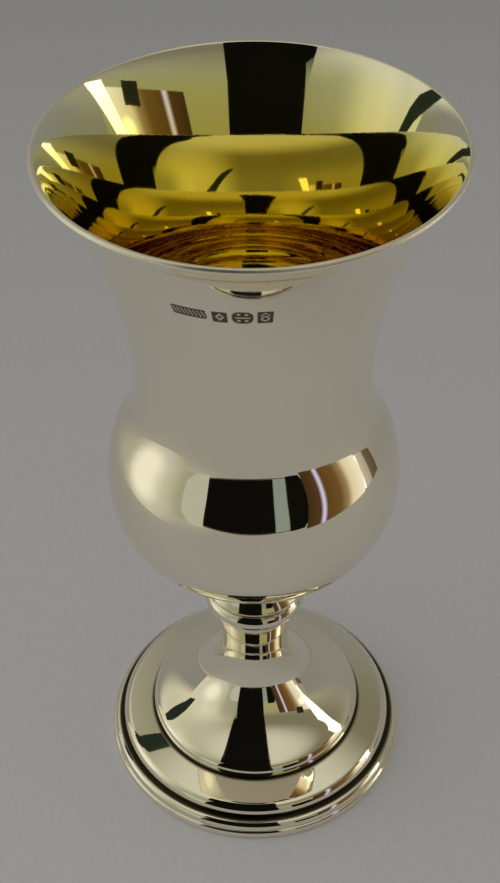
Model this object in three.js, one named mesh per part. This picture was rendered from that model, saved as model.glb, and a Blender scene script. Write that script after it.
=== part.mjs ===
import * as THREE from "three";

// A footed drinking cup of sterling silver, spun and turned, with a gilt inside.
// Millimetres, +Z up. The origin is on the axis, in the plane that the foot stands on.

// Sides of every turned piece
const sides = 40;

// Thickness of the spun metal, in the cup and in the foot
const cupWall = 0.8;
const footWall = 0.8;

// The three pieces stand on each other, so their heights add up to 140
const footHeight = 36.4;
const knopHeight = 14.2;
const cupHeight = 89.4;

// Cup: heights are measured up from its underside
const mouthRadius = 33.4;
const mouthFlare = THREE.MathUtils.degToRad(36.7);
const mouthPull = 11.1;
const waistRadius = 20.5;
const waistHeight = 47;
const waistPullUp = 15.8;
const waistPullDown = 13.2;
const bulbRadius = 26.3;
const bulbHeight = 22;
const bulbPullUp = 14.7;
const bulbPullDown = 13;
const padRadius = 7.5;
const padHeight = 1.45;
const padSlope = THREE.MathUtils.degToRad(17.2);
const padPull = 6.6;

// Thickened band round the mouth
const lipBand = 3;
const lipRamp = 0.5;
const lipProud = 0.2;

// Knop: heights are measured up from its underside
const beadRadius = 9.85;
const beadHeight = 3.6;
const beadRound = 2;
const grooveRadius = 8.4;
const ridgeRadius = 9.5;
const ridgeHeight = 6.7;
const ridgeRound = 0.5;
const knopUnderPull = 1.7;
const covePullIn = 1.9;
const covePullUp = 4.2;

// Neck, which carries the knop
const neckTopRadius = 7;
const neckRadius = 6.6;
const neckNarrowest = 27.8;
const neckPull = 2;

// Trumpet dome of the foot
const trumpetPullTop = 13.5;
const trumpetPullEdge = 4.4;
const domeRadius = 21.35;
const domeFoot = 7.3;
const domeEdgeHeight = 1.1;
const domeRoll = 2;
const domeEdgeTilt = THREE.MathUtils.degToRad(60);

// Shallow step round the dome, rolled over at its edge
const stepRadius = 28;
const stepRoll = 2;
const stepEdgeHeight = 4.35;
const stepStartTilt = THREE.MathUtils.degToRad(80);
const stepEdgeTilt = THREE.MathUtils.degToRad(78);
const stepPull = 1.8;

// Base flange and the flat ring that the foot stands on
const flangeTop = 3.6;
const grooveWidth = 0.7;
const flangeRadius = 30.1;
const flangeEdge = 1.85;
const wireRadius = 30.75;
const standOuter = 30.2;
const standInner = 29.1;

const silver = { color: 0xdcd9d1, roughness: 0.12, metalness: 1 };

const at = (radius, height) => new THREE.Vector2(radius, height);

// A curve through two ends, given the direction and pull at each
function sweep(start, startAngle, startPull, end, endAngle, endPull) {
  const first = at(Math.cos(startAngle), Math.sin(startAngle)).multiplyScalar(startPull);
  const last = at(Math.cos(endAngle), Math.sin(endAngle)).multiplyScalar(endPull);
  return new THREE.CubicBezierCurve(start, start.clone().add(first), end.clone().sub(last), end);
}

// The point a share of the way along a curve, moved square to it, to its right
function beside(curve, share, distance) {
  const direction = curve.getTangentAt(share);
  return curve.getPointAt(share).add(at(direction.y, -direction.x).multiplyScalar(distance));
}

// Evenly spaced points from one share of a curve to another, moved to its right
function along(curve, steps, distance = 0, from = 0, to = 1) {
  const points = [];
  for (let i = 0; i <= steps; i++) {
    points.push(beside(curve, from + (to - from) * i / steps, distance));
  }
  return points;
}

// Points of a circular arc, from one angle to another
function arc(centre, radius, from, to, steps) {
  const points = [];
  for (let i = 0; i <= steps; i++) {
    const angle = from + (to - from) * i / steps;
    points.push(at(centre.x + radius * Math.cos(angle), centre.y + radius * Math.sin(angle)));
  }
  return points;
}

// A turned piece: the profile starts and ends on the axis, and runs upward on the outside
function turned(name, profile, bottom) {
  const geometry = new THREE.LatheGeometry(profile, sides);
  geometry.rotateX(Math.PI / 2);
  const piece = new THREE.Mesh(geometry, new THREE.MeshStandardMaterial(silver));
  piece.name = name;
  piece.position.z = bottom;
  return piece;
}

// The cup is one shell: flared mouth, narrow waist, round bulb and a flat pad underneath
function cup() {
  const up = Math.PI / 2;
  const flareUp = up - mouthFlare;
  const lipRadius = (cupWall + lipProud) / 2;
  const lipCentre = at(mouthRadius - lipRadius, cupHeight - lipRadius);
  const outward = at(Math.cos(mouthFlare), -Math.sin(mouthFlare));
  const mouth = lipCentre.clone().add(outward.multiplyScalar(lipRadius - lipProud));
  const pad = at(padRadius, padHeight);
  const bulb = at(bulbRadius, bulbHeight);
  const waist = at(waistRadius, waistHeight);

  const belly = sweep(pad, padSlope, padPull, bulb, up, bulbPullDown);
  const shoulder = sweep(bulb, up, bulbPullUp, waist, up, waistPullDown);
  const flare = sweep(waist, up, waistPullUp, mouth, flareUp, mouthPull);
  const bandStart = 1 - lipBand / flare.getLength();
  const bandFull = 1 - (lipBand - lipRamp) / flare.getLength();

  const outside = [
    at(0, 0), at(padRadius, 0),
    ...along(belly, 8), ...along(shoulder, 7).slice(1), ...along(flare, 6, 0, 0, bandStart).slice(1),
    ...along(flare, 1, lipProud, bandFull, 1),
  ];
  const lip = arc(lipCentre, lipRadius, -mouthFlare, Math.PI - mouthFlare, 4).slice(1, -1);
  const inside = [
    ...along(flare, 7, -cupWall, 1, 0), ...along(shoulder, 7, -cupWall, 1, 0).slice(1),
    ...along(belly, 8, -cupWall, 1, 0).slice(1),
  ];
  const floorEdge = inside[inside.length - 1];
  const floorDrop = Math.tan(padSlope) * floorEdge.x / 2;
  const floor = new THREE.QuadraticBezierCurve(
    floorEdge, at(floorEdge.x / 2, floorEdge.y - floorDrop), at(0, floorEdge.y - floorDrop));
  return turned("bowl", [...outside, ...lip, ...inside, ...floor.getPoints(3).slice(1)], footHeight + knopHeight);
}

// The knop is solid: a bead below, a groove, a ridge, and a cove up to the pad of the cup
function knop() {
  const up = Math.PI / 2;
  const bead = at(beadRadius - beadRound, beadHeight);
  const ridge = at(ridgeRadius - ridgeRound, ridgeHeight);
  const beadLow = -Math.PI / 3;
  const beadTop = Math.PI * 7 / 18;
  const ridgeTurn = Math.PI / 4;
  const beadArc = arc(bead, beadRound, beadLow, beadTop, 6);
  const ridgeArc = arc(ridge, ridgeRound, -ridgeTurn, ridgeTurn, 3);
  const under = sweep(at(neckTopRadius, 0), up, knopUnderPull, beadArc[0], up + beadLow, knopUnderPull);
  const cove = sweep(ridgeArc[3], up + ridgeTurn, covePullIn, at(padRadius, knopHeight), up, covePullUp);
  const profile = [
    at(0, 0), ...under.getPoints(2).slice(0, -1), ...beadArc,
    at(grooveRadius, beadArc[6].y), at(grooveRadius, ridgeArc[0].y),
    ...ridgeArc, ...cove.getPoints(4).slice(1), at(0, knopHeight),
  ];
  return turned("knop", profile, footHeight);
}

// The foot is one shell, open underneath: neck, trumpet dome, shallow step, groove and base flange
function foot() {
  const down = -Math.PI / 2;
  const narrowest = at(neckRadius, neckNarrowest);
  const domeCentre = at(domeRadius - domeRoll, domeFoot + domeEdgeHeight);
  const domeArc = (radius) => arc(domeCentre, radius, domeEdgeTilt, 0, 3);
  const stepCentre = at(stepRadius - stepRoll, stepEdgeHeight);
  const stepArc = (radius, steps) => arc(stepCentre, radius, stepEdgeTilt, 0, steps);
  const stepOuter = stepArc(stepRoll, 4);

  const neck = sweep(at(neckTopRadius, footHeight), down, neckPull, narrowest, down, neckPull);
  const trumpet = sweep(
    narrowest, down, trumpetPullTop, domeArc(domeRoll)[0], domeEdgeTilt + down, trumpetPullEdge);
  const step = sweep(
    at(domeRadius, domeFoot), stepStartTilt + down, stepPull, stepOuter[0], stepEdgeTilt + down, stepPull);
  const shoulder = at(flangeRadius, flangeTop);
  const flange = new THREE.QuadraticBezierCurve(
    at(stepRadius + grooveWidth, flangeTop), shoulder, at(flangeRadius, flangeEdge));
  const wire = new THREE.CubicBezierCurve(
    at(flangeRadius, flangeEdge), at(wireRadius, flangeEdge), at(wireRadius, 0), at(standOuter, 0));

  // The profile starts on the axis inside, runs down to the flat ring and back up outside
  const outside = [
    at(0, footHeight), ...along(neck, 2), ...along(trumpet, 8).slice(1), ...domeArc(domeRoll).slice(1),
    ...along(step, 2), ...stepOuter.slice(1), at(stepRadius, flangeTop),
    ...flange.getPoints(3), ...wire.getPoints(3).slice(1),
  ].reverse();
  const inside = [
    at(standInner, 0), at(standInner, flangeEdge - footWall / 2),
    at(stepRadius, flangeTop - footWall), at(stepRadius - footWall, flangeTop - footWall),
    ...stepArc(stepRoll - footWall, 2).reverse(), at(domeRadius - footWall, domeFoot - footWall),
    ...domeArc(domeRoll - footWall).reverse(), ...along(trumpet, 7, footWall, 1, 0).slice(1),
    at(neckRadius - footWall, footHeight - footWall), at(0, footHeight - footWall),
  ].reverse();
  return turned("foot", [...inside, ...outside], 0);
}

const goblet = new THREE.Group();
goblet.add(foot(), knop(), cup());

export default goblet;
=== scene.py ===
import math

import bpy
import numpy as np
from mathutils import Matrix, Vector


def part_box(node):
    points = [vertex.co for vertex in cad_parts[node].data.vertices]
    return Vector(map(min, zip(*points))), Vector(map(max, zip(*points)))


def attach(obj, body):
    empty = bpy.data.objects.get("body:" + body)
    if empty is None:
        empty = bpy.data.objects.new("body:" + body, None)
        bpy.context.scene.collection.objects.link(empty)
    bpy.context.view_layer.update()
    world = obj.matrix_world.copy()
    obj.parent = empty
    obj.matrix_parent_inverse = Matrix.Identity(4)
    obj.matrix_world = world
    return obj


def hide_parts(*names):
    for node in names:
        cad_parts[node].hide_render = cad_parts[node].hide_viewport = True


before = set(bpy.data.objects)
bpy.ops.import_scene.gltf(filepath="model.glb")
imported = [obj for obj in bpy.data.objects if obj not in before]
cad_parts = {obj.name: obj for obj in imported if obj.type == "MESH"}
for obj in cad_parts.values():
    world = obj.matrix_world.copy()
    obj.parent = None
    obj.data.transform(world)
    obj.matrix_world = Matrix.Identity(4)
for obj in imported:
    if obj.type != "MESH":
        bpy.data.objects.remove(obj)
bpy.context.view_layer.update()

# Lengths below are millimetres, and this turns them into the metres that Blender works in
MM = 0.001

# Wall thickness of the spun metal
CUP_WALL = 0.8
FOOT_WALL = 0.8

# Cup: heights are measured up from its underside
MOUTH_FLARE = math.radians(36.7)
MOUTH_PULL = 11.1
WAIST_RADIUS = 20.5
WAIST_HEIGHT = 47
WAIST_PULL_UP = 15.8
WAIST_PULL_DOWN = 13.2
BULB_RADIUS = 26.3
BULB_HEIGHT = 22
BULB_PULL_UP = 14.7
BULB_PULL_DOWN = 13
PAD_RADIUS = 7.5
PAD_HEIGHT = 1.45
PAD_SLOPE = math.radians(17.2)
PAD_PULL = 6.6
LIP_BAND = 3
LIP_RAMP = 0.5
LIP_PROUD = 0.2

# Knop: heights are measured up from its underside
BEAD_RADIUS = 9.85
BEAD_HEIGHT = 3.6
BEAD_ROUND = 2
GROOVE_RADIUS = 8.4
RIDGE_RADIUS = 9.5
RIDGE_HEIGHT = 6.7
RIDGE_ROUND = 0.5
KNOP_UNDER_PULL = 1.7
COVE_PULL_IN = 1.9
COVE_PULL_UP = 4.2

# Foot: heights are measured up from the floor
NECK_TOP_RADIUS = 7
NECK_RADIUS = 6.6
NECK_NARROWEST = 27.8
NECK_PULL = 2
TRUMPET_PULL_TOP = 13.5
TRUMPET_PULL_EDGE = 4.4
DOME_RADIUS = 21.35
DOME_FOOT = 7.3
DOME_EDGE_HEIGHT = 1.1
DOME_ROLL = 2
DOME_EDGE_TILT = math.radians(60)
STEP_RADIUS = 28
STEP_ROLL = 2
STEP_EDGE_HEIGHT = 4.35
STEP_START_TILT = math.radians(80)
STEP_EDGE_TILT = math.radians(78)
STEP_PULL = 1.8
FLANGE_TOP = 3.6
GROOVE_WIDTH = 0.7
FLANGE_RADIUS = 30.1
FLANGE_EDGE = 1.85
WIRE_RADIUS = 30.75
STAND_OUTER = 30.2
STAND_INNER = 29.1

# Row of punched marks under the lip: heights from the floor, azimuths in degrees from -Y towards +X
MARK_LOW = 125.1
MARK_HIGH = 128.8
MARK_WEST = -27.5
MARK_EAST = 8
MARK_DEPTH = 0.11
MARK_EDGE = 0.14
MARK_RADIUS = 26.5
# Share of the darkest colour painted into the punched recesses, as tarnish and painted shade
MARK_TARNISH_AND_SHADE = 0.95

# Widths in degrees between columns of the cup across the marks, and how many columns go round the rest
MARK_COLUMN = 0.22
PLAIN_COLUMNS = 160

# Columns of the knop and the foot
KNOP_COLUMNS = 192
FOOT_COLUMNS = 256

# Tarnish and painted shade on the knop, overall and in its groove, as shares of the darkest colour
KNOP_DULL = 0.1
KNOP_GROOVE = 0.85
# The darkest colour, painted as tarnish and shade onto the knop, the foot's creases and the punched recesses
TARNISH_AND_SHADE_COLOUR = (0.045, 0.038, 0.022)

# Heights in metres over which the gilding goes from deep to worn, and then from worn to nearly bare
GILT_WORN = (0.127, 0.135)
GILT_BARE = (0.1355, 0.1395)

UP = math.pi / 2
DOWN = -math.pi / 2


def height_of(node):
    """Lowest and highest point of a CAD node, in millimetres."""
    low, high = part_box(node)
    return low.z / MM, high.z / MM


KNOP_BOTTOM = height_of("knop")[0]


def at(radius, height):
    return np.array([radius, height], float)


def toward(angle):
    return np.array([math.cos(angle), math.sin(angle)])


def sweep(start, start_angle, start_pull, end, end_angle, end_pull):
    """The four control points of a curve, from the direction and pull at each end."""
    return [start, start + start_pull * toward(start_angle), end - end_pull * toward(end_angle), end]


def bezier(curve, t):
    """Points and unit tangents of a curve of four control points."""
    a, b, c, d = curve
    t = np.asarray(t, float)[:, None]
    u = 1 - t
    points = u**3 * a + 3 * u**2 * t * b + 3 * u * t**2 * c + t**3 * d
    tangents = u**2 * (b - a) + 2 * u * t * (c - b) + t**2 * (d - c)
    return points, tangents / np.linalg.norm(tangents, axis=1, keepdims=True)


def along(curve, shares, distance=0.0):
    """Points at shares of a curve's length, moved square to it, to its right."""
    t = np.linspace(0, 1, 801)
    points, _ = bezier(curve, t)
    length = np.concatenate([[0], np.cumsum(np.linalg.norm(np.diff(points, axis=0), axis=1))])
    points, tangents = bezier(curve, np.interp(np.asarray(shares) * length[-1], length, t))
    return points + distance * np.stack([tangents[:, 1], -tangents[:, 0]], 1)


def length_of(curve):
    points, _ = bezier(curve, np.linspace(0, 1, 801))
    return np.linalg.norm(np.diff(points, axis=0), axis=1).sum()


def shares(steps, start=0.0, end=1.0):
    return np.linspace(start, end, steps + 1)


def arc(centre, radius, start, end, steps):
    angles = np.linspace(start, end, steps + 1)
    return centre + radius * np.stack([np.cos(angles), np.sin(angles)], 1)


def quadratic(start, middle, end, steps):
    curve = [start, start + (middle - start) * 2 / 3, end + (middle - end) * 2 / 3, end]
    return bezier(curve, shares(steps))[0]


def join(*runs):
    """One profile from several runs of points, each given once where two runs meet."""
    profile = [np.atleast_2d(runs[0])]
    for run in runs[1:]:
        run = np.atleast_2d(run)
        if np.linalg.norm(run[0] - profile[-1][-1]) < 1e-6:
            run = run[1:]
        profile.append(run)
    return np.concatenate(profile)


def turned(name, profile, bottom, columns):
    """A turned mesh. The profile starts and ends on the axis and runs upward on the outside.

    columns are azimuths in degrees, 0 towards -Y and growing towards +X.
    """
    angles = np.radians(columns)
    count = len(angles)
    ring = np.stack([np.sin(angles), -np.cos(angles)], 1)
    rows = profile[1:-1]
    vertices = [(0, 0, profile[0][1] + bottom)]
    for radius, height in rows:
        vertices += [(x * radius, y * radius, height + bottom) for x, y in ring]
    vertices.append((0, 0, profile[-1][1] + bottom))
    top = len(vertices) - 1
    faces = []
    for i in range(count):
        j = (i + 1) % count
        faces.append((0, 1 + j, 1 + i))
        faces.append((top, top - count + i, top - count + j))
    for row in range(len(rows) - 1):
        low, high = 1 + row * count, 1 + (row + 1) * count
        for i in range(count):
            j = (i + 1) % count
            faces.append((low + i, low + j, high + j, high + i))
    mesh = bpy.data.meshes.new(name)
    mesh.from_pydata([tuple(MM * value for value in vertex) for vertex in vertices], [], faces)
    mesh.validate()
    mesh.shade_smooth()
    mesh.set_sharp_from_angle(angle=math.radians(30))
    piece = bpy.data.objects.new(name, mesh)
    bpy.context.scene.collection.objects.link(piece)
    return piece


def even_columns(count):
    return np.arange(count) * 360 / count


def bowl_profile():
    """The cup's shell, the row where the rounded lip starts, and the row where the gilt inside begins."""
    low, high = height_of("bowl")
    mouth_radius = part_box("bowl")[1].x / MM
    lip_radius = (CUP_WALL + LIP_PROUD) / 2
    lip_centre = at(mouth_radius - lip_radius, high - low - lip_radius)
    mouth = lip_centre + (lip_radius - LIP_PROUD) * toward(-MOUTH_FLARE)
    pad = at(PAD_RADIUS, PAD_HEIGHT)
    bulb = at(BULB_RADIUS, BULB_HEIGHT)
    waist = at(WAIST_RADIUS, WAIST_HEIGHT)
    belly = sweep(pad, PAD_SLOPE, PAD_PULL, bulb, UP, BULB_PULL_DOWN)
    shoulder = sweep(bulb, UP, BULB_PULL_UP, waist, UP, WAIST_PULL_DOWN)
    flare = sweep(waist, UP, WAIST_PULL_UP, mouth, UP - MOUTH_FLARE, MOUTH_PULL)
    band_start = 1 - LIP_BAND / length_of(flare)
    band_full = 1 - (LIP_BAND - LIP_RAMP) / length_of(flare)
    heights = along(flare, shares(400))[:, 1] + low
    marked = np.interp([MARK_LOW, MARK_HIGH], heights, shares(400))
    plain_rows = shares(36, 0, band_start)
    plain_rows = plain_rows[(plain_rows < marked[0]) | (plain_rows > marked[1])]
    flare_rows = np.sort(np.concatenate([plain_rows, shares(36, *marked)]))
    outside = join(
        at(0, 0), at(PAD_RADIUS, 0), along(belly, shares(36)), along(shoulder, shares(44)),
        along(flare, flare_rows), along(flare, shares(6, band_full, 1), LIP_PROUD))
    lip = arc(lip_centre, lip_radius, -MOUTH_FLARE, math.pi - MOUTH_FLARE, 12)[1:-1]
    floor_edge = along(belly, [0], -CUP_WALL)[0]
    drop = math.tan(PAD_SLOPE) * floor_edge[0] / 2
    inside = join(
        along(flare, shares(30, 1, 0), -CUP_WALL), along(shoulder, shares(36, 1, 0), -CUP_WALL),
        along(belly, shares(32, 1, 0), -CUP_WALL),
        quadratic(floor_edge, floor_edge * [0.5, 1] - [0, drop], at(0, floor_edge[1] - drop), 8))
    return np.concatenate([outside, lip, inside]), len(outside), len(outside) + len(lip), low


def knop_profile():
    low, high = height_of("knop")
    bead = at(BEAD_RADIUS - BEAD_ROUND, BEAD_HEIGHT)
    ridge = at(RIDGE_RADIUS - RIDGE_ROUND, RIDGE_HEIGHT)
    bead_low, bead_top = math.radians(-60), math.radians(70)
    ridge_turn = math.radians(45)
    bead_arc = arc(bead, BEAD_ROUND, bead_low, bead_top, 30)
    ridge_arc = arc(ridge, RIDGE_ROUND, -ridge_turn, ridge_turn, 14)
    under = sweep(at(NECK_TOP_RADIUS, 0), UP, KNOP_UNDER_PULL, bead_arc[0], UP + bead_low, KNOP_UNDER_PULL)
    top = at(PAD_RADIUS, high - low)
    cove = sweep(ridge_arc[-1], UP + ridge_turn, COVE_PULL_IN, top, UP, COVE_PULL_UP)
    return join(
        at(0, 0), along(under, shares(16)), bead_arc,
        at(GROOVE_RADIUS, bead_arc[-1][1]), at(GROOVE_RADIUS, ridge_arc[0][1]),
        ridge_arc, along(cove, shares(24)), at(0, high - low)), low


def foot_profile():
    low, high = height_of("foot")
    narrowest = at(NECK_RADIUS, NECK_NARROWEST)
    dome_centre = at(DOME_RADIUS - DOME_ROLL, DOME_FOOT + DOME_EDGE_HEIGHT)
    dome_arc = arc(dome_centre, DOME_ROLL, DOME_EDGE_TILT, 0, 16)
    step_centre = at(STEP_RADIUS - STEP_ROLL, STEP_EDGE_HEIGHT)
    step_arc = arc(step_centre, STEP_ROLL, STEP_EDGE_TILT, 0, 12)
    neck = sweep(at(NECK_TOP_RADIUS, high), DOWN, NECK_PULL, narrowest, DOWN, NECK_PULL)
    trumpet = sweep(narrowest, DOWN, TRUMPET_PULL_TOP, dome_arc[0], DOME_EDGE_TILT + DOWN, TRUMPET_PULL_EDGE)
    step = sweep(
        at(DOME_RADIUS, DOME_FOOT), STEP_START_TILT + DOWN, STEP_PULL,
        step_arc[0], STEP_EDGE_TILT + DOWN, STEP_PULL)
    groove = at(STEP_RADIUS + GROOVE_WIDTH, FLANGE_TOP)
    flange = quadratic(groove, at(FLANGE_RADIUS, FLANGE_TOP), at(FLANGE_RADIUS, FLANGE_EDGE), 14)
    wire = [
        at(FLANGE_RADIUS, FLANGE_EDGE), at(WIRE_RADIUS, FLANGE_EDGE), at(WIRE_RADIUS, 0), at(STAND_OUTER, 0)]
    outside = join(
        at(0, high), along(neck, shares(14)), along(trumpet, shares(70)), dome_arc,
        at(DOME_RADIUS, DOME_FOOT), along(step, shares(18)), step_arc, at(STEP_RADIUS, FLANGE_TOP),
        flange, along(wire, shares(14)))
    inner_dome = arc(dome_centre, DOME_ROLL - FOOT_WALL, DOME_EDGE_TILT, 0, 6)
    inner_step = arc(step_centre, STEP_ROLL - FOOT_WALL, STEP_EDGE_TILT, 0, 6)
    inside = join(
        at(STAND_OUTER, 0), at(STAND_INNER, 0), at(STAND_INNER, FLANGE_EDGE - FOOT_WALL / 2),
        at(STEP_RADIUS, FLANGE_TOP - FOOT_WALL), at(STEP_RADIUS - FOOT_WALL, FLANGE_TOP - FOOT_WALL),
        inner_step[::-1], at(DOME_RADIUS - FOOT_WALL, DOME_FOOT - FOOT_WALL),
        inner_dome[::-1], along(trumpet, shares(40, 1, 0), FOOT_WALL),
        at(NECK_RADIUS - FOOT_WALL, high - FOOT_WALL), at(0, high - FOOT_WALL))
    return join(outside, inside)[::-1], low


def node_material(name):
    """A new material with its node tree and its shader."""
    material = bpy.data.materials.new(name)
    material.use_nodes = True
    tree = material.node_tree
    shader = tree.nodes["Principled BSDF"]
    return material, tree, shader


def link(tree, start, end):
    tree.links.new(start, end)


def noise(tree, scale, detail=2.0, stretch=(1, 1, 1)):
    """Noise over the object's own coordinates."""
    coordinates = tree.nodes.new("ShaderNodeTexCoord")
    mapping = tree.nodes.new("ShaderNodeMapping")
    mapping.inputs["Scale"].default_value = stretch
    texture = tree.nodes.new("ShaderNodeTexNoise")
    texture.inputs["Scale"].default_value = scale
    texture.inputs["Detail"].default_value = detail
    link(tree, coordinates.outputs["Object"], mapping.inputs["Vector"])
    link(tree, mapping.outputs["Vector"], texture.inputs["Vector"])
    return texture.outputs["Fac"]


def ramp(tree, value, low, high, low_colour, high_colour):
    """A value from low to high turned into a colour."""
    node = tree.nodes.new("ShaderNodeValToRGB")
    node.color_ramp.elements[0].position = low
    node.color_ramp.elements[1].position = high
    node.color_ramp.elements[0].color = (*low_colour, 1)
    node.color_ramp.elements[1].color = (*high_colour, 1)
    link(tree, value, node.inputs["Fac"])
    return node.outputs["Color"]


def span(tree, value, low, high, low_to, high_to):
    """A value from low to high mapped onto another range."""
    node = tree.nodes.new("ShaderNodeMapRange")
    node.inputs["From Min"].default_value = low
    node.inputs["From Max"].default_value = high
    node.inputs["To Min"].default_value = low_to
    node.inputs["To Max"].default_value = high_to
    link(tree, value, node.inputs["Value"])
    return node.outputs["Result"]


def polished_metal(name, pale, deep, low_rough, high_rough):
    """Polished metal: faint colour drift, patchy polish, slight waviness, and tarnish with painted shade in
    creases, grooves and recesses.
    """
    material, tree, shader = node_material(name)
    shader.inputs["Metallic"].default_value = 1
    tarnish_and_shade = tree.nodes.new("ShaderNodeAttribute")
    tarnish_and_shade.attribute_name = "tarnish_and_shade"
    clean = ramp(tree, noise(tree, 38, 3), 0.35, 0.7, pale, deep)
    colour = mix_colour(tree, tarnish_and_shade.outputs["Fac"], clean, TARNISH_AND_SHADE_COLOUR)
    link(tree, colour, shader.inputs["Base Color"])
    polish = span(tree, noise(tree, 160, 4), 0.35, 0.7, low_rough, high_rough)
    rough = tree.nodes.new("ShaderNodeMath")
    rough.operation = "MULTIPLY_ADD"
    rough.inputs[1].default_value = 0.25
    link(tree, tarnish_and_shade.outputs["Fac"], rough.inputs[0])
    link(tree, polish, rough.inputs[2])
    link(tree, rough.outputs["Value"], shader.inputs["Roughness"])
    bump = tree.nodes.new("ShaderNodeBump")
    bump.inputs["Strength"].default_value = 0.05
    bump.inputs["Distance"].default_value = 0.02 * MM
    link(tree, noise(tree, 900, 3, (1, 1, 4)), bump.inputs["Height"])
    link(tree, bump.outputs["Normal"], shader.inputs["Normal"])
    return material, tree, shader, clean


def gilding():
    """A thin gold wash: deep low in the cup, worn to pale greenish gold at the rim."""
    material, tree, shader, clean = polished_metal(
        "gilding", (0.86, 0.75, 0.24), (0.80, 0.67, 0.17), 0.02, 0.05)
    coordinates = tree.nodes.new("ShaderNodeTexCoord")
    parts = tree.nodes.new("ShaderNodeSeparateXYZ")
    link(tree, coordinates.outputs["Object"], parts.inputs["Vector"])
    upper = span(tree, parts.outputs["Z"], *GILT_WORN, 0, 1)
    rim = span(tree, parts.outputs["Z"], *GILT_BARE, 0, 1)
    worn = mix_colour(tree, upper, clean, (0.85, 0.80, 0.44))
    bare = mix_colour(tree, rim, worn, (0.86, 0.83, 0.66))
    link(tree, bare, shader.inputs["Base Color"])
    return material


def mix_colour(tree, share, first, second):
    """Two colours mixed. Each is a socket or a plain triple."""
    node = tree.nodes.new("ShaderNodeMix")
    node.data_type = "RGBA"
    link(tree, share, node.inputs["Factor"])
    for colour, socket in ((first, node.inputs[6]), (second, node.inputs[7])):
        if isinstance(colour, tuple):
            socket.default_value = (*colour, 1)
        else:
            link(tree, colour, socket)
    return node.outputs[2]


def store_tarnish_and_shade(piece, values):
    layer = piece.data.attributes.new("tarnish_and_shade", "FLOAT", "POINT")
    layer.data.foreach_set("value", values)


def tarnish_and_shade(piece, amount):
    """Sets how dark the tarnish and painted shade are at each vertex, from its radius and height in
    millimetres.
    """
    values = []
    for vertex in piece.data.vertices:
        x, y, z = vertex.co / MM
        values.append(amount(math.hypot(x, y), z))
    store_tarnish_and_shade(piece, values)


def near(distance, full, none):
    """1 within one distance, falling to 0 at another."""
    return min(1.0, max(0.0, (none - distance) / (none - full)))


# Painted shade with tarnish: darker in the crease at the foot of the dome and in the groove before the
# flange
def foot_tarnish_and_shade(radius, height):
    crease = near(math.hypot(radius - DOME_RADIUS, height - DOME_FOOT), 0.3, 0.8)
    middle = STEP_RADIUS + GROOVE_WIDTH / 2
    groove = near(math.hypot(radius - middle, height - FLANGE_TOP), 0.45, 0.8)
    return max(crease, groove) if radius > DOME_RADIUS - FOOT_WALL / 2 else 0.0


# Painted shade with tarnish: the whole knop a little darker, and much darker in its groove
def knop_tarnish_and_shade(radius, height):
    groove = KNOP_BOTTOM + (BEAD_HEIGHT + RIDGE_HEIGHT) / 2 + BEAD_ROUND / 2
    return max(KNOP_DULL, KNOP_GROOVE * near(math.hypot(radius - GROOVE_RADIUS, height - groove), 0.5, 0.9))


def slanted_strokes(across, up):
    return abs((across + 0.35 * up) % 0.62 - 0.31) < 0.11 and abs(up) < 0.75


def diamond(across, up):
    return 0.45 < abs(across) / 0.7 + abs(up) / 0.95 < 1


def bar_and_dots(across, up):
    bar = abs(up) < 0.16 and abs(across) < 1.15
    dots = math.hypot(abs(across) - 0.55, abs(up) - 0.75) < 0.26
    return bar or dots


def ring_and_chevron(across, up):
    ring = abs(math.hypot(across, up + 0.35) - 0.5) < 0.14
    chevron = abs(up - 1.05 + abs(across)) < 0.15 and abs(across) < 0.7
    return ring or chevron


# Azimuth and height of the middle, half width, half height, corner and what is left raised inside
PUNCHES = (
    (-20.35, 126.9, 2.75, 1.15, 0.5, slanted_strokes),
    (-10.4, 126.75, 1.2, 1.35, 0.35, diamond),
    (-3.2, 126.9, 1.62, 1.5, 1.2, bar_and_dots),
    (3.85, 127.0, 1.22, 1.5, 0.3, ring_and_chevron),
)


def punched(azimuth, height):
    """How deeply a point of the cup is punched in, as a share of the full depth."""
    for middle, level, half_wide, half_high, corner, raised in PUNCHES:
        across = math.radians(azimuth - middle) * MARK_RADIUS
        up = height - level
        wide = max(abs(across) - half_wide + corner, 0)
        high = max(abs(up) - half_high + corner, 0)
        inside = corner - math.hypot(wide, high)
        if inside > 0:
            return min(1.0, inside / MARK_EDGE) * (0.25 if raised(across, up) else 1)
    return 0.0


def punch(piece, outer_rows, columns):
    """Presses the marks into the outside of the cup, and paints their recesses dark with tarnish and painted
    shade.
    """
    values = []
    for vertex in piece.data.vertices:
        x, y, z = vertex.co / MM
        share = 0.0
        if MARK_LOW < z < MARK_HIGH and 0 < vertex.index <= outer_rows * columns:
            share = punched(math.degrees(math.atan2(x, -y)), z)
            vertex.co.x -= x / math.hypot(x, y) * share * MARK_DEPTH * MM
            vertex.co.y -= y / math.hypot(x, y) * share * MARK_DEPTH * MM
        values.append(MARK_TARNISH_AND_SHADE * share)
    store_tarnish_and_shade(piece, values)


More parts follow.
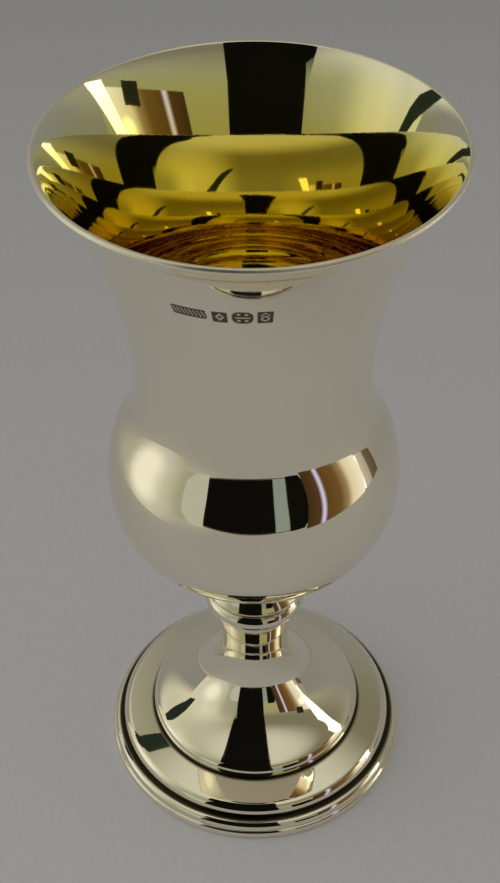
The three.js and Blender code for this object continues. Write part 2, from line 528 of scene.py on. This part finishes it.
def make_goblet():
    silver = polished_metal("polished_silver", (0.94, 0.88, 0.74), (0.90, 0.83, 0.67), 0.02, 0.05)[0]
    worn = polished_metal("worn_silver", (0.94, 0.89, 0.77), (0.90, 0.84, 0.70), 0.34, 0.46)[0]
    gilt = gilding()
    profile, lip_start, lip_end, low = bowl_profile()
    fine = np.arange(MARK_WEST, MARK_EAST, MARK_COLUMN)
    columns = np.concatenate([fine, np.linspace(MARK_EAST, 360 + MARK_WEST, PLAIN_COLUMNS)[:-1]])
    bowl = turned("goblet_bowl", profile, low, columns)
    for material in (silver, gilt, worn):
        bowl.data.materials.append(material)
    count = len(columns)
    for face in bowl.data.polygons:
        lowest_row = (min(v for v in face.vertices if v > 0) - 1) // count
        if lowest_row >= lip_end - 2:
            face.material_index = 1
        elif lowest_row >= lip_start - 2:
            face.material_index = 2
    knop_shape, knop_low = knop_profile()
    knop = turned("goblet_knop", knop_shape, knop_low, even_columns(KNOP_COLUMNS))
    foot_shape, foot_low = foot_profile()
    foot = turned("goblet_foot", foot_shape, foot_low, even_columns(FOOT_COLUMNS))
    knop.data.materials.append(silver)
    foot.data.materials.append(silver)
    punch(bowl, lip_end, count)
    tarnish_and_shade(knop, knop_tarnish_and_shade)
    tarnish_and_shade(foot, foot_tarnish_and_shade)
    for piece, node in ((bowl, "bowl"), (knop, "knop"), (foot, "foot")):
        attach(piece, "root")
        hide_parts(node)


def painted(name, stops):
    """A light-giving material whose colour runs along U. stops are shares of the width and colours."""
    material, tree, shader = node_material(name)
    tree.nodes.remove(shader)
    coordinates = tree.nodes.new("ShaderNodeUVMap")
    parts = tree.nodes.new("ShaderNodeSeparateXYZ")
    link(tree, coordinates.outputs["UV"], parts.inputs["Vector"])
    node = tree.nodes.new("ShaderNodeValToRGB")
    elements = node.color_ramp.elements
    while len(elements) < len(stops):
        elements.new(0.5)
    for element, (place, colour) in zip(elements, stops):
        element.position = place
        element.color = (*colour, 1)
    link(tree, parts.outputs["X"], node.inputs["Fac"])
    light = tree.nodes.new("ShaderNodeEmission")
    link(tree, node.outputs["Color"], light.inputs["Color"])
    return material, tree, parts, light


def fading(tree, share, light):
    """Lets a card fade out to nothing where share falls to 0."""
    clear = tree.nodes.new("ShaderNodeBsdfTransparent")
    blend = tree.nodes.new("ShaderNodeMixShader")
    link(tree, share, blend.inputs["Fac"])
    link(tree, clear.outputs["BSDF"], blend.inputs[1])
    link(tree, light.outputs["Emission"], blend.inputs[2])
    link(tree, blend.outputs["Shader"], tree.nodes["Material Output"].inputs["Surface"])


def card(name, rows, stops, soft_top=0.0, glow=False):
    """A reflector card through rows of points. It is seen only in reflections.

    soft_top is the share of its height over which it fades out, and a glow fades out all round.
    """
    across = len(rows[0])
    mesh = bpy.data.meshes.new(name)
    faces = []
    for j in range(len(rows) - 1):
        for i in range(across - 1):
            a = j * across + i
            faces.append((a, a + 1, a + across + 1, a + across))
    mesh.from_pydata([tuple(point) for row in rows for point in row], [], faces)
    places = mesh.uv_layers.new(name="UVMap")
    for loop in mesh.loops:
        row, column = divmod(loop.vertex_index, across)
        places.data[loop.index].uv = (column / (across - 1), row / (len(rows) - 1))
    material, tree, parts, light = painted(name, stops)
    if glow:
        centred = tree.nodes.new("ShaderNodeVectorMath")
        centred.operation = "DISTANCE"
        centred.inputs[1].default_value = (0.5, 0.5, 0)
        uv = tree.nodes.new("ShaderNodeUVMap")
        link(tree, uv.outputs["UV"], centred.inputs[0])
        fading(tree, smooth(tree, centred.outputs["Value"], 0.5, 0.12), light)
    elif soft_top:
        fading(tree, smooth(tree, parts.outputs["Y"], 1, 1 - soft_top), light)
    else:
        link(tree, light.outputs["Emission"], tree.nodes["Material Output"].inputs["Surface"])
    mesh.materials.append(material)
    thing = bpy.data.objects.new(name, mesh)
    bpy.context.scene.collection.objects.link(thing)
    thing.visible_camera = False
    thing.visible_diffuse = False
    thing.visible_shadow = False
    thing.visible_transmission = False


def smooth(tree, value, low, high):
    """0 at low and 1 at high, with an even ease between."""
    node = tree.nodes.new("ShaderNodeMapRange")
    node.interpolation_type = "SMOOTHSTEP"
    node.inputs["From Min"].default_value = low
    node.inputs["From Max"].default_value = high
    link(tree, value, node.inputs["Value"])
    return node.outputs["Result"]


def polar(azimuth, radius, height):
    """A point in metres, with its azimuth in degrees from -Y towards +X."""
    a = math.radians(azimuth)
    return Vector((radius * math.sin(a), -radius * math.cos(a), height))


def toward_sky(azimuth, elevation, distance):
    e = math.radians(elevation)
    return polar(azimuth, distance * math.cos(e), distance * math.sin(e))


def curved_card(name, west, east, radius, low, high, stops, slant=0.0, soft_top=0.0):
    """An upright curved card between two azimuths. slant turns its top edge east, in degrees."""
    steps = max(2, round(abs(east - west) / 2))
    rows = []
    for j in range(5):
        height = low + (high - low) * j / 4
        azimuths = [west + (east - west) * i / steps + slant * j / 4 for i in range(steps + 1)]
        rows.append([polar(azimuth, radius, height) for azimuth in azimuths])
    card(name, rows, stops, soft_top)


def ribbon(name, distance, course, stops):
    """A strip through azimuths, elevations and half widths in degrees."""
    rows = []
    for azimuth, elevation, half in course:
        wide = half / math.cos(math.radians(elevation))
        rows.append([toward_sky(azimuth + side * wide, elevation, distance) for side in (-1, 0, 1)])
    card(name, rows, stops)


def glow(name, azimuth, radius, height, reach, colour):
    """A soft round light facing the goblet."""
    middle = polar(azimuth, radius, height)
    side = polar(azimuth + 90, 1, 0)
    rise = side.cross(Vector((0, 0, height / 2)) - middle).normalized()
    if rise.z < 0:
        rise = -rise
    rows = [[middle + side * (u * reach) + rise * (v * reach) for u in (-1, 0, 1)] for v in (-1, 0, 1)]
    card(name, rows, plain(colour), glow=True)


def plain(colour):
    return ((0, colour), (1, colour))


def make_world():
    """Soft even light, brighter overhead and to the left, dimmer behind."""
    world = bpy.data.worlds.new("studio")
    bpy.context.scene.world = world
    world.use_nodes = True
    tree = world.node_tree
    background = tree.nodes["Background"]
    coordinates = tree.nodes.new("ShaderNodeTexCoord")
    parts = tree.nodes.new("ShaderNodeSeparateXYZ")
    link(tree, coordinates.outputs["Generated"], parts.inputs["Vector"])
    low = mix_colour(
        tree, smooth(tree, parts.outputs["Y"], 0.2, 0.8), (0.34, 0.33, 0.24), (0.24, 0.24, 0.225))
    behind = mix_colour(tree, smooth(tree, parts.outputs["Z"], 0.5, 0.75), low, (0.20, 0.19, 0.135))
    left = mix_colour(tree, smooth(tree, parts.outputs["X"], -0.15, -0.85), behind, (0.66, 0.65, 0.51))
    overhead = mix_colour(tree, smooth(tree, parts.outputs["Z"], 0.80, 0.95), left, (0.62, 0.61, 0.52))
    link(tree, overhead, background.inputs["Color"])
    background.inputs["Strength"].default_value = 1


def make_floor():
    bpy.ops.mesh.primitive_plane_add(size=8)
    floor = bpy.context.object
    floor.name = "floor"
    material, tree, shader = node_material("floor_paper_painted_light")
    coordinates = tree.nodes.new("ShaderNodeTexCoord")
    parts = tree.nodes.new("ShaderNodeSeparateXYZ")
    link(tree, coordinates.outputs["Object"], parts.inputs["Vector"])
    # Painted light on the paper: darker towards the back, as light falls off, and brighter to the left, as a
    # painted pool of light
    painted_falloff = mix_colour(
        tree, span(tree, parts.outputs["Y"], -0.05, 0.36, 0, 1), (0.74, 0.745, 0.90), (0.50, 0.505, 0.60))
    painted_left_light = mix_colour(tree, smooth(tree, parts.outputs["X"], -0.10, -0.34), painted_falloff, (0.97, 0.97, 0.97))
    grain = ramp(tree, noise(tree, 900, 4), 0.3, 0.7, (0.97, 0.97, 0.965), (1.03, 1.03, 1.035))
    paper = tree.nodes.new("ShaderNodeMix")
    paper.data_type = "RGBA"
    paper.blend_type = "MULTIPLY"
    paper.inputs["Factor"].default_value = 1
    link(tree, painted_left_light, paper.inputs[6])
    link(tree, grain, paper.inputs[7])
    link(tree, paper.outputs[2], shader.inputs["Base Color"])
    shader.inputs["Roughness"].default_value = 0.9
    shader.inputs["Specular IOR Level"].default_value = 0.1
    floor.data.materials.append(material)


def make_stage():
    """Plain cards that stand for the light and dark areas of a room, over a pale floor."""
    make_world()
    make_floor()
    black = (0.004, 0.004, 0.003)
    front, left, right = -0.43, -0.31, 0.115
    card("dark_front", [[(left, front, 0), (right, front, 0)], [(left, front, 0.40), (right, front, 0.40)],
                        [(left * 0.8, -0.10, 0.90), (right * 0.8, -0.10, 0.90)]], plain(black))
    card("table_edge", [[(left, front + 0.01, 0), (0.25, front + 0.01, 0)],
                        [(left, front + 0.01, 0.009), (0.25, front + 0.01, 0.009)]],
         plain((0.10, 0.075, 0.045)))
    curved_card("pale_strip", 15, 24, 0.55, 0, 0.22, plain((0.24, 0.30, 0.27)))
    lump = ((0, 34), (0.03, 36), (0.07, 38), (0.11, 39), (0.17, 39), (0.21, 37))
    card("dark_lump", [[polar(24, 0.42, height), polar(east, 0.42, height)] for height, east in lump],
         plain(black))
    curved_card("curtain", 35, 84, 0.36, 0, 0.32, (
        (0, (0.05, 0.03, 0.012)), (0.20, (0.09, 0.045, 0.016)), (0.225, (0.36, 0.32, 0.50)),
        (0.255, (0.75, 0.70, 1.0)), (0.285, (0.36, 0.32, 0.50)), (0.31, (0.12, 0.06, 0.018)),
        (0.54, (0.15, 0.09, 0.025)), (0.67, (0.33, 0.23, 0.12)), (0.76, (0.75, 0.68, 0.48)),
        (1, (0.95, 0.90, 0.75))), slant=9)
    curved_card("right_wall", 15, 96, 0.60, 0, 0.60, plain((0.34, 0.335, 0.18)), soft_top=0.3)
    gap = ((88, 0, 3), (86.5, 12, 3), (88, 24, 3.2), (94, 36, 3.6), (100, 45, 4), (104, 50, 4))
    ribbon("white_gap", 0.40, gap, plain((1.7, 1.65, 1.5)))
    curved_card("dark_crescent", 86, 101, 0.39, 0, 0.066, (
        (0, (0.55, 0.50, 0.38)), (0.45, (0.40, 0.37, 0.30)), (0.5, (0.14, 0.11, 0.07)),
        (1, (0.10, 0.08, 0.05))))
    glow("lamp", 84, 0.33, 0.205, 0.035, (1.9, 1.6, 1.0))
    curved_card("dark_picture", 73, 83, 0.34, 0.262, 0.335, plain((0.02, 0.02, 0.012)))
    curved_card("left_wall", -102, -35, 0.45, 0, 0.60, (
        (0, (0.62, 0.62, 0.50)), (0.2, (0.72, 0.70, 0.55)), (0.4, (0.64, 0.63, 0.47)),
        (0.6, (0.42, 0.42, 0.31)), (0.68, (0.36, 0.37, 0.27)), (1, (0.32, 0.32, 0.22))), soft_top=0.4)
    patch = ((0, -45), (0.03, -49), (0.07, -52), (0.13, -53), (0.19, -50))
    card("pale_patch", [[polar(west, 0.43, height), polar(-35, 0.43, height)] for height, west in patch],
         plain((0.46, 0.48, 0.40)))
    glow("left_lamp", -86, 0.19, 0.068, 0.070, (0.92, 0.90, 0.77))
    bar = ((-107, 34, 2.5), (-109, 38, 3), (-114, 43, 5), (-118, 47, 5), (-127, 53, 3.5), (-139, 60, 3),
           (-150, 64, 1.5))
    ribbon("dark_bar", 0.30, bar, plain((0.018, 0.025, 0.018)))
    glow("left_haze", -82, 0.20, 0.045, 0.12, (0.56, 0.56, 0.47))
    curved_card("backdrop", 98, 247, 0.70, 0, 0.45, plain((0.25, 0.25, 0.235)), soft_top=0.4)


def make_camera():
    """The photo's camera: fitted to the rings of the mouth, dome and foot."""
    focal = 1410
    frame_width, frame_height = 500, 883
    eye = Vector((-0.28, -186.44, 248.02)) * MM
    pitch, pan, roll = 0.735, -0.002, -0.010
    forward = Vector((math.sin(pan) * math.cos(pitch), math.cos(pan) * math.cos(pitch), -math.sin(pitch)))
    right = Vector((math.cos(pan), -math.sin(pan), 0))
    up = right.cross(forward)
    rolled_right = math.cos(roll) * right + math.sin(roll) * up
    rolled_up = math.cos(roll) * up - math.sin(roll) * right
    camera = bpy.data.objects.new("camera", bpy.data.cameras.new("camera"))
    bpy.context.scene.collection.objects.link(camera)
    axes = Matrix((rolled_right, rolled_up, -forward)).transposed()
    camera.matrix_world = Matrix.Translation(eye) @ axes.to_4x4()
    camera.data.sensor_fit = "AUTO"
    camera.data.sensor_width = 36
    camera.data.lens = camera.data.sensor_width * focal / frame_height
    camera.data.clip_start = 0.01
    camera.data.clip_end = 30
    bpy.context.scene.camera = camera


def set_view():
    scene = bpy.context.scene
    scene.view_settings.view_transform = "Standard"
    scene.cycles.max_bounces = 16
    scene.cycles.glossy_bounces = 14
    scene.cycles.blur_glossy = 0.0


make_goblet()
make_stage()
make_camera()
set_view()
